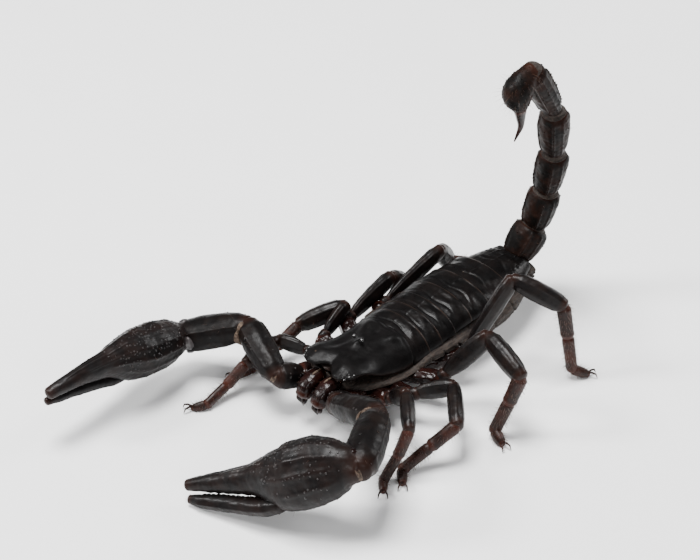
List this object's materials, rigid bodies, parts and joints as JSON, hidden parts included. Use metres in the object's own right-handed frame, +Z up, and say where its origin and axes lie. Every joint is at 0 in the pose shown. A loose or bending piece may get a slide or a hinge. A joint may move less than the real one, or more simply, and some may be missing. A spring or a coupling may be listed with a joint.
{
  "type": "emperor scorpion",
  "caption": "Emperor scorpion, life size, standing with its heavy pincers held forward and its tail raised over the rear of the body, the sting pointing down.",
  "frame": {"origin": "the floor under the middle of the model's bounding box", "axes": "+Z up; -Y the way the head looks, so +Y runs from the pincers to the tail; +X the animal's left side"},
  "size_m": [0.09, 0.141, 0.0847],
  "materials": {
    "shell_plate": "black shell plates with a satin gloss",
    "limb_shell": "brown-black shell, granular on the pincers and tail, glossy on the legs",
    "red_shell": "glossy dark red-brown shell",
    "foot_shell": "red-brown shell with a satin gloss",
    "membrane": "matt grey-brown soft skin between the plates",
    "eye": "polished black lens"
  },
  "bodies": {
    "root": {"belly_plates": "limb_shell", "body_membrane": "membrane", "carapace": "shell_plate", "chelicera_left": "red_shell", "chelicera_right": "red_shell", "comb_left": "membrane", "comb_right": "membrane", "coxosternum": "red_shell", "leg_left_1_femur": "limb_shell", "leg_left_1_foot": "foot_shell", "leg_left_1_patella": "limb_shell", "leg_left_2_femur": "limb_shell", "leg_left_2_foot": "foot_shell", "leg_left_2_patella": "limb_shell", "leg_left_3_femur": "limb_shell", "leg_left_3_foot": "foot_shell", "leg_left_3_patella": "limb_shell", "leg_left_4_femur": "limb_shell", "leg_left_4_foot": "foot_shell", "leg_left_4_patella": "limb_shell", "leg_right_1_femur": "limb_shell", "leg_right_1_foot": "foot_shell", "leg_right_1_patella": "limb_shell", "leg_right_2_femur": "limb_shell", "leg_right_2_foot": "foot_shell", "leg_right_2_patella": "limb_shell", "leg_right_3_femur": "limb_shell", "leg_right_3_foot": "foot_shell", "leg_right_3_patella": "limb_shell", "leg_right_4_femur": "limb_shell", "leg_right_4_foot": "foot_shell", "leg_right_4_patella": "limb_shell", "median_eye_left": "eye", "median_eye_right": "eye", "pedipalp_left_femur": "limb_shell", "pedipalp_left_finger": "limb_shell", "pedipalp_left_palm": "limb_shell", "pedipalp_left_patella": "limb_shell", "pedipalp_left_trochanter": "limb_shell", "pedipalp_right_femur": "limb_shell", "pedipalp_right_finger": "limb_shell", "pedipalp_right_palm": "limb_shell", "pedipalp_right_patella": "limb_shell", "pedipalp_right_trochanter": "limb_shell", "sting": "foot_shell", "tail_1": "limb_shell", "tail_2": "limb_shell", "tail_3": "limb_shell", "tail_4": "limb_shell", "tail_5": "limb_shell", "tergite_1": "shell_plate", "tergite_2": "shell_plate", "tergite_3": "shell_plate", "tergite_4": "shell_plate", "tergite_5": "shell_plate", "tergite_6": "shell_plate", "tergite_7": "shell_plate", "venom_bulb": "limb_shell"}
  },
  "joints": []
}
